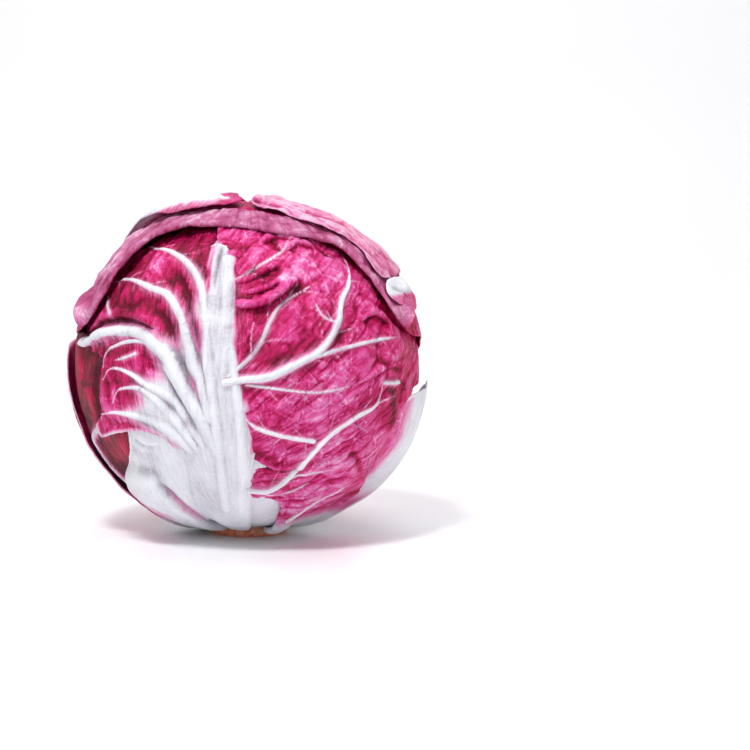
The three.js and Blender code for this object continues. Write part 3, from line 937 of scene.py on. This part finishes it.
def front_rib_lift(lon, lat):
    flap = 1.7 * ramp(-lat, 2, 14) * ramp(lat, -32, -22) * ramp(-lon, 22, 32)
    return 0.2 + flap + 2 * near_base(lat) * ramp(lon, -28, -12) - 1.2 * under_hood(lon, lat)


def right_outer_lift(lon, lat):
    return 0.2 + 4.2 * ramp(lon - 8 * ramp(-lat, 24, 44), 64, 84) * (1 - 0.3 * near_base(lat))


def right_wrapper_lift(lon, lat):
    layer = 0.2 + 1.7 * (1 + near_base(lat) * ramp(-lon, -42, -26))
    hidden = 0.8 * under_hood(lon, lat) * ramp(lat, 10, 25)
    return layer - ramp(lon, 36, 60) * ramp(lat, -14, -2) - hidden


def left_outer_lift(lon, lat):
    return hood_lift(lon, lat) + 2.5 + 0.4 * ramp(lon, -96, -80)


def top_left_lift(lon, lat):
    return hood_lift(lon, lat) + 1.4 + 1.5 * ramp(lon, -110, -80) * ramp(lat, 30, 66)


def top_right_lift(lon, lat):
    over = 1.6 * ramp(lon, 140, 164)
    return hood_lift(lon, lat) + 1.5 + over + 1.2 * ramp(-lon, -110, -60) * ramp(lat, 24, 40)


def side_curl_lift(lon, lat):
    return hood_lift(lon, lat) + 2.4


# ---- the leaves themselves

# grid is the number of cells across, middle the chart's middle and root where the flow starts; fan
# spreads the flow, ragged roughens the margin, stout thickens the base, and crumple gives the heights
# of the waves, wrinkles, pucker and mesh.

LEAVES = {
    "left_strip_leaf": dict(
        dress=dress_strip,
        grid=120, seed=101, middle=(-88, -44), root=(-70, -88),
        outline=[(-50, 4), (-48, -15), (-46, -38), (-50, -60), (-62, -76), (-88, -76), (-100, -56),
                 (-104, -34), (-100, -10), (-92, 8), (-70, 11)],
        crumple=(0.5, 0.3, 0.4, 0.2),
        lift=left_strip_lift,
    ),
    "lower_left_leaf": dict(
        dress=dress_lower_left,
        grid=150, seed=102, middle=(-32, -38), root=(-30, -88),
        ragged=0.4,
        outline=[(-21, -15), (-46, -13), (-45, -20), (-47, -25), (-50, -29), (-55, -34), (-61, -40),
                 (-73, -48), (-73, -56), (-68, -66), (-54, -75), (-30, -76), (-22, -62), (-19, -50),
                 (-17, -38), (-18, -22)],
        crumple=(0.4, 0.25, 0.2, 0.1),
        lift=lower_left_lift,
    ),
    "front_rib_leaf": dict(
        dress=dress_front_rib,
        grid=330, seed=103, middle=(-7, 20), root=(-6, -64),
        stout=2.2,
        outline=[(28, -74), (26, -62), (22, -48), (16, -36), (13, -20), (15, 10), (20, 40), (28, 60),
                 (14, 75), (-30, 74), (-60, 67), (-74, 52), (-80, 34), (-84, 18), (-89, 9), (-87, 3),
                 (-66, 6.5), (-56, 5), (-55, 0), (-57, -6), (-56, -10), (-56.5, -14), (-61, -18),
                 (-61, -21), (-52, -20), (-44, -18), (-34, -17), (-28, -19), (-25, -24), (-22.5, -29),
                 (-22, -35), (-24, -42), (-26, -50), (-29, -60), (-28, -73), (0, -75)],
        crumple=(0.5, 0.6, 0.5, 0.3),
        lift=front_rib_lift,
    ),
    "right_outer_leaf": dict(
        dress=dress_right_outer,
        grid=150, seed=104, middle=(84, -38), root=(92, -88),
        outline=[(68, -75), (60, -68), (50, -56), (46, -40), (52, -28), (62.5, -19), (66, -13), (71, -9.5),
                 (80, -8), (90, -6), (104, -12), (118, -30), (122, -50), (112, -66), (92, -75)],
        crumple=(0.4, 0.5, 0.4, 0.2),
        lift=right_outer_lift,
    ),
    "right_wrapper_leaf": dict(
        dress=dress_right_wrapper,
        grid=330, seed=105, middle=(36, -8), root=(-34, -34),
        ragged=0.35,
        fan=11,
        outline=[(24, -75), (20, -60), (16, -46), (3, -43.5), (-1, -40), (0, -31), (1.5, -25), (3, -18),
                 (1, -11.5), (-1, -6.5), (-5, -2.5), (-6, 0), (-3, 4.5), (-3, 18), (-3.5, 27), (-3.5, 35),
                 (-7, 46), (-16, 55), (-18, 64), (-2, 75), (25, 72), (50, 60), (68, 44), (84, 26), (96, 10),
                 (97, 0), (86, -6), (74, -8), (67, -11), (62, -18), (58, -26), (57, -31), (61, -37),
                 (65, -42), (74, -49), (76, -56), (66, -68), (44, -75)],
        crumple=(0.7, 0.8, 0.7, 0.28),
        lift=right_wrapper_lift,
    ),
    "left_outer_leaf": dict(
        dress=dress_left_outer,
        grid=150, seed=107, middle=(-108, -58), root=(-112, -88),
        outline=[(-90, 5), (-84, -6), (-81, -22), (-79, -38), (-77, -54), (-80, -72), (-98, -75),
                 (-124, -74), (-140, -60), (-141, -36), (-134, -8), (-118, 5), (-100, 7)],
        crumple=(0.3, 0.3, 0.4, 0.2),
        lift=left_outer_lift,
    ),
    "top_left_leaf": dict(
        dress=dress_top_left,
        grid=210, seed=108, middle=(-150, 10), root=(-166, -84),
        outline=[(-104, 40), (-92, 50), (-78, 58), (-66, 61.5), (-53, 64.5), (-39, 67), (-26, 70),
                 (-14, 73), (-6, 79), (-20, 82), (-60, 86), (-150, 86), (180, 76), (172, 50), (174, 16),
                 (176, -24), (178, -58), (-174, -71), (-160, -71), (-149, -48), (-146, -16), (-132, 14),
                 (-106, 30)],
        crumple=(0.4, 0.5, 0.4, 0.25),
        lift=top_left_lift,
    ),
    "top_right_leaf": dict(
        dress=dress_top_right,
        grid=240, seed=109, middle=(133, 42), root=(176, -84),
        outline=[(9, 77), (14, 71.5), (30, 66), (39, 60), (48, 54.5), (56, 49), (60, 43), (58, 36),
                 (62, 31), (72, 30), (84, 31), (96, 29), (106, 22), (116, 6), (134, -16), (144, -42),
                 (154, -60), (166, -67), (184, -67), (190, -52), (196, -16), (196, 26), (188, 56),
                 (176, 76), (100, 81)],
        crumple=(0.8, 1.0, 0.6, 0.4),
        lift=top_right_lift,
    ),
    "side_curl_leaf": dict(
        dress=dress_side_curl,
        grid=60, seed=110, middle=(73, 23), root=(90, 0),
        outline=[(59, 26), (63, 29.5), (72, 30), (80, 28), (83, 23), (76, 18.5), (66, 20)],
        crumple=(0.4, 0.5, 0.4, 0.2),
        lift=side_curl_lift,
    ),
}

HOOD = dict(
    dress=dress_hood,
    grid=240, seed=106, middle=(180, 30), root=(180, -86),
    fan=12,
    thickness=0.45,
    outline=[(-92, 8), (-78, 12), (-68, 16), (-63, 28), (-62, 39), (-60, 49), (-53, 55), (-40, 59),
             (-26, 60), (-6, 60), (8, 58), (27, 54), (43, 51), (54, 44), (56, 35), (59, 27), (61, 19),
             (70, 12), (84, 8), (96, 2), (102, -12), (108, -30), (118, -48), (130, -62), (146, -71),
             (166, -75), (-166, -75), (-142, -71), (-124, -60), (-108, -42), (-99, -16)],
    crumple=(0.4, 0.4, 0.4, 0.25),
    lift=hood_lift,
)


# ---- the stem


CORE_PROFILE = [(0, 0), (12.3, 0), (12.9, 0.7), (13.1, 2.6), (11.6, 8), (8.0, 20), (4.7, 34), (3.0, 37.4),
                (0, 38)]


def stem_core():
    """The cut stem: a flat face below, a rough brown side, and a cone that runs up inside the head."""
    rings = spline(CORE_PROFILE[1:-1], 60)
    around = np.linspace(0, 2 * np.pi, 180, endpoint=False)
    turn, level = np.meshgrid(around, np.arange(len(rings)))
    rough = noise(np.stack([6 * np.cos(turn), 6 * np.sin(turn), rings[level, 1] / 1.5], -1), 31)
    radius = rings[level, 0] + 0.3 * ramp(level, 0, 4) * rough
    above = np.maximum(rings[level, 1], 0)
    points = np.stack([radius * np.cos(turn), radius * np.sin(turn), above], -1)
    points[0, :, 2] = 0
    count = len(around)
    j, k = np.meshgrid(np.arange(len(rings) - 1), np.arange(count), indexing="ij")
    after = (k + 1) % count
    here, there = j * count, (j + 1) * count
    sides = np.stack([here + k, here + after, there + after, there + k], -1)
    tips = np.array([[0, 0, 0], [0, 0, CORE_PROFILE[-1][1]]], float)
    low, high = len(rings) * count, len(rings) * count + 1
    k = np.arange(count)
    after = (k + 1) % count
    under = np.stack([0 * k + low, after, k], -1)
    last = (len(rings) - 1) * count
    over = np.stack([0 * k + high, last + k, last + after], -1)
    vertices = np.concatenate([points.reshape(-1, 3), tips])
    faces = [sides.reshape(-1, 4), np.concatenate([under, over])]
    return make_object("cut_stem", vertices, faces, {})


# ---- materials


def colour(code):
    """A linear colour from a six-digit sRGB code."""
    parts = [int(code[k : k + 2], 16) / 255 for k in (0, 2, 4)]
    return (*(v / 12.92 if v <= 0.04045 else ((v + 0.055) / 1.055) ** 2.4 for v in parts), 1.0)


class Look:
    """A material and short ways to add nodes to it."""

    def __init__(self, name):
        self.material = bpy.data.materials.new(name)
        self.material.use_nodes = True
        self.tree = self.material.node_tree
        self.shader = self.tree.nodes["Principled BSDF"]
        self.place = self.node("ShaderNodeTexCoord").outputs["Object"]

    def node(self, kind, inputs=None, **settings):
        made = self.tree.nodes.new(kind)
        for key, value in settings.items():
            setattr(made, key, value)
        for key, value in (inputs or {}).items():
            self.feed(made.inputs[key], value)
        return made

    def feed(self, socket, value):
        if isinstance(value, bpy.types.NodeSocket):
            self.tree.links.new(value, socket)
        else:
            socket.default_value = value

    def times(self, a, b):
        return self.math("MULTIPLY", a, b)

    def weigh(self, *pairs, offset=None):
        """The sum of each value times its weight, and an offset."""
        terms = [self.times(value, weight) for value, weight in pairs]
        return self.add_up(*terms) if offset is None else self.add_up(*terms, offset)

    def math(self, operation, a, b=0.0):
        return self.node("ShaderNodeMath", {0: a, 1: b}, operation=operation).outputs[0]

    def add_up(self, *terms):
        total = terms[0]
        for term in terms[1:]:
            total = self.math("ADD", total, term)
        return total

    def soft(self, value, start, end):
        inputs = {"Value": value, "From Min": start, "From Max": end}
        return self.node("ShaderNodeMapRange", inputs, interpolation_type="SMOOTHSTEP").outputs[0]

    def mix(self, share, a, b):
        made = self.node("ShaderNodeMix", {"Factor": share}, data_type="RGBA")
        self.feed(made.inputs[6], a)
        self.feed(made.inputs[7], b)
        return made.outputs[2]

    def value(self, name):
        return self.node("ShaderNodeAttribute", attribute_name=name).outputs["Fac"]

    def vector(self, name):
        return self.node("ShaderNodeAttribute", attribute_name=name).outputs["Vector"]

    def cloud(self, where, scale, detail=3.0, roughness=0.55):
        inputs = {"Vector": where, "Scale": scale, "Detail": detail, "Roughness": roughness}
        return self.node("ShaderNodeTexNoise", inputs).outputs["Fac"]

    def stretched(self, where, scale):
        return self.node("ShaderNodeVectorMath", {0: where, 1: scale}, operation="MULTIPLY").outputs[0]

    def ramp(self, value, stops):
        made = self.node("ShaderNodeValToRGB", {"Fac": value})
        band = made.color_ramp
        while len(band.elements) < len(stops):
            band.elements.new(0.5)
        for element, (at, code) in zip(band.elements, stops):
            element.position = at
            element.color = colour(code)
        return made.outputs[0]

    def bump(self, height, strength, distance, below=None):
        inputs = {"Height": height, "Strength": strength, "Distance": distance}
        if below is not None:
            inputs["Normal"] = below
        return self.node("ShaderNodeBump", inputs).outputs[0]


BLADE = [(0.0, "640022"), (0.2, "94003c"), (0.4, "c00f5c"), (0.58, "d8408c"), (0.78, "e474b4"),
         (1.0, "f2bcd9")]
# REDDER colours painted light and shade: its dark saturated stops are painted shade on shaded leaves, its
# pinker stops painted reflected light
REDDER = [(0.0, "52001a"), (0.2, "8c002c"), (0.4, "bc0340"), (0.62, "d81e60"), (0.95, "ea80aa")]
DUSTY = [(0.15, "93315f"), (0.5, "b85f8d"), (0.8, "cf8cb0"), (1.0, "ecc8da")]
PITH = [(0.05, "847c88"), (0.25, "b7b0bc"), (0.42, "d3d2da"), (0.58, "e2e3ea"), (0.8, "eff0f5")]
CUT = [(0.3, "b4542c"), (0.45, "dc7a50"), (0.58, "e6a184"), (0.72, "e8c0ad")]
INSIDE = [(0.25, "ece6ea"), (0.42, "d987ae"), (0.6, "b32a62"), (0.8, "7d0a38")]


def leaf_look(name):
    """Crimson blade with streaks along the flow, a fine net of veinlets, and white where the ribs are."""
    look = Look(name)
    flow = look.vector("flow")
    streak = look.cloud(look.stretched(flow, (3.2, 1.0, 1.0)), 1.6, 5.0, 0.6)
    hair = look.cloud(look.stretched(flow, (12.0, 1.4, 1.0)), 1.6, 4.0, 0.65)
    grain = look.cloud(look.place, 900.0, 4.0, 0.7)
    blotch = look.cloud(look.place, 150.0, 4.0, 0.6)
    swirl = {"Vector": look.place, "Scale": 260.0, "Detail": 3.0}
    drift = look.node("ShaderNodeTexNoise", swirl).outputs["Color"]
    bent = look.node("ShaderNodeVectorMath", {0: drift, "Scale": 0.006}, operation="SCALE").outputs[0]
    where = look.node("ShaderNodeVectorMath", {0: look.place, 1: bent}, operation="ADD").outputs[0]
    nets = []
    for scale, width in ((150.0, 0.045), (330.0, 0.06)):
        inputs = {"Vector": where, "Scale": scale}
        wall = look.node("ShaderNodeTexVoronoi", inputs, feature="DISTANCE_TO_EDGE").outputs["Distance"]
        line = look.math("SUBTRACT", 1.0, look.soft(wall, 0.0, width))
        there = look.soft(look.cloud(look.place, 0.8 * scale, 1.0), 0.42, 0.62)
        nets.append(look.times(line, there))
    net = look.add_up(nets[0], look.times(nets[1], 0.6))
    # the tone attribute, with its painted light and shade, pales or darkens the blade
    tone_and_shade = look.value("tone")
    tone = look.weigh(
        (tone_and_shade, 0.42), (streak, 0.65), (blotch, 0.45), (hair, 0.35), (grain, 0.4), (net, 0.2), offset=-0.44
    )
    blade = look.mix(look.value("red"), look.ramp(tone, BLADE), look.ramp(tone, REDDER))
    blade = look.mix(look.times(look.value("dust"), 0.85), blade, look.ramp(tone, DUSTY))
    white = look.value("white")
    fringe = look.weigh((white, 1.0), (hair, 0.45), (streak, 0.45), (grain, 0.15), offset=-0.6)
    pink_tint = look.mix(look.soft(fringe, 0.0, 0.45), blade, colour("e78fc0"))
    # in the white parts, low tone greys the pith: painted shade in its hollows
    pith = look.ramp(look.weigh((streak, 0.5), (hair, 0.2), (grain, 0.3), (tone_and_shade, 0.3)), PITH)
    look.feed(look.shader.inputs["Base Color"], look.mix(look.soft(fringe, 0.2, 0.68), pink_tint, pith))
    rough = look.add_up(0.34, look.times(grain, 0.2))
    look.feed(look.shader.inputs["Roughness"], rough)
    look.shader.inputs["Specular IOR Level"].default_value = 0.2
    fine = look.bump(grain, 0.45, 0.0005)
    lines = look.bump(net, 0.35, 0.0004, fine)
    smooth = look.math("SUBTRACT", 0.55, look.times(white, 0.42))
    look.feed(look.shader.inputs["Normal"], look.bump(look.add_up(hair, streak), smooth, 0.0008, lines))
    return look.material


def stem_look():
    """Orange-brown and cracked where it was cut, white above."""
    look = Look("stem")
    height = look.node("ShaderNodeSeparateXYZ", {"Vector": look.place}).outputs["Z"]
    grain = look.cloud(look.place, 420.0, 5.0, 0.7)
    spots = look.cloud(look.place, 1500.0, 3.0, 0.6)
    brown = look.ramp(look.weigh((grain, 0.7), (spots, 0.3)), CUT)
    white = look.soft(look.add_up(height, look.times(grain, 0.004)), 0.0045, 0.0075)
    look.feed(look.shader.inputs["Base Color"], look.mix(white, brown, colour("e9e2e6")))
    look.shader.inputs["Roughness"].default_value = 0.7
    look.feed(look.shader.inputs["Normal"], look.bump(grain, 0.6, 0.0008))
    return look.material


def inner_look():
    """The pale crimson and white of the leaves that never saw light, for the nested inner leaves."""
    look = Look("inner_leaf")
    fibre = look.cloud(look.stretched(look.place, (1.0, 1.0, 0.25)), 420.0, 5.0, 0.6)
    height = look.node("ShaderNodeSeparateXYZ", {"Vector": look.place}).outputs["Z"]
    tone = look.add_up(fibre, look.times(height, 3.0), -0.25)
    leafy = look.ramp(tone, INSIDE)
    look.feed(look.shader.inputs["Base Color"], leafy)
    look.shader.inputs["Roughness"].default_value = 0.5
    look.feed(look.shader.inputs["Normal"], look.bump(fibre, 0.5, 0.0006))
    return look.material


# ---- putting it together


def stand_for(piece, node, material):
    """Gives a piece its look and lets it stand for a node of the CAD."""
    piece.data.materials.append(material)
    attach(piece, "root")
    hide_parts(node)


def dress_head():
    """Every piece of the head, with its look."""
    crimson = leaf_look("crimson_leaf")
    for node, spec in LEAVES.items():
        piece = leaf(node + "_veined", spec)
        stand_for(piece, node, crimson)
    hood = folded_leaf("hood_leaf_folded", HOOD)
    stand_for(hood, "hood_leaf", crimson)
    stand_for(stem_core(), "stem_core", stem_look())
    inside = inner_look()
    for name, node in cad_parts.items():
        if name.startswith("inner_leaf_") or name == "heart_bud":
            node.data.materials.clear()
            node.data.materials.append(inside)


def sweep():
    """A pale floor that curves up into a backdrop."""
    across, depth, rise, bend = 2.5, 0.9, 1.6, 0.5
    arc = [(depth + bend * math.sin(a), bend * (1 - math.cos(a))) for a in np.linspace(0, math.pi / 2, 24)]
    path = [(-2.5, 0.0), *arc, (depth + bend, rise)]
    vertices = [(x, y, z) for y, z in path for x in (-across, across)]
    faces = [(2 * k, 2 * k + 1, 2 * k + 3, 2 * k + 2) for k in range(len(path) - 1)]
    mesh = bpy.data.meshes.new("floor")
    mesh.from_pydata(vertices, [], faces)
    mesh.shade_smooth()
    floor = bpy.data.objects.new("floor", mesh)
    bpy.context.scene.collection.objects.link(floor)
    look = Look("floor")
    paper = look.cloud(look.place, 3.0, 2.0)
    look.feed(look.shader.inputs["Base Color"], look.mix(paper, colour("f7f7fa"), colour("fbfbfd")))
    look.shader.inputs["Roughness"].default_value = 0.32
    look.shader.inputs["Specular IOR Level"].default_value = 0.35
    mesh.materials.append(look.material)


HEAD = (0, 0, 0.057)
LAMPS = [
    ("key", (-0.25, -0.55, 1.1), HEAD, 0.25, 11),
    ("top", (0.1, 0.25, 1.1), HEAD, 0.9, 5),
    ("back", (0.0, 0.7, 1.0), (0, 1.4, 0.3), 0.8, 3),
    ("fill", (0.8, -0.9, 0.35), HEAD, 0.9, 2.2),
    ("left", (-1.0, -0.5, 0.25), HEAD, 0.9, 1),
]
WORLD_STRENGTH = 0.36


def lamp(name, place, aim, size, power):
    """A round area light of a size in metres, aimed at a place."""
    data = bpy.data.lights.new(name, "AREA")
    data.shape = "DISK"
    data.size = size
    data.energy = power
    lit = bpy.data.objects.new(name, data)
    lit.location = place
    lit.rotation_euler = (Vector(aim) - Vector(place)).to_track_quat("-Z", "Y").to_euler()
    bpy.context.scene.collection.objects.link(lit)


def studio():
    """The white world and the lamps."""
    world = bpy.data.worlds.new("studio")
    bpy.context.scene.world = world
    world.use_nodes = True
    background = world.node_tree.nodes["Background"].inputs
    background["Color"].default_value = (1, 1, 1, 1)
    background["Strength"].default_value = WORLD_STRENGTH
    for row in LAMPS:
        lamp(*row)
    bpy.context.scene.view_settings.view_transform = "Standard"


ELEVATION = math.radians(7)
DISTANCE = 1.0
AIM = Vector((0.0423, 0.0, 0.0526))
LENS = 144
SENSOR = 36


def camera():
    """The photograph's camera, level with the head and a little above it."""
    data = bpy.data.cameras.new("camera")
    data.lens = LENS
    data.sensor_width = SENSOR
    seen_from = bpy.data.objects.new("camera", data)
    seen_from.location = AIM + DISTANCE * Vector((0, -math.cos(ELEVATION), math.sin(ELEVATION)))
    seen_from.rotation_euler = (math.pi / 2 - ELEVATION, 0, 0)
    bpy.context.scene.collection.objects.link(seen_from)
    bpy.context.scene.camera = seen_from


dress_head()
sweep()
studio()
camera()
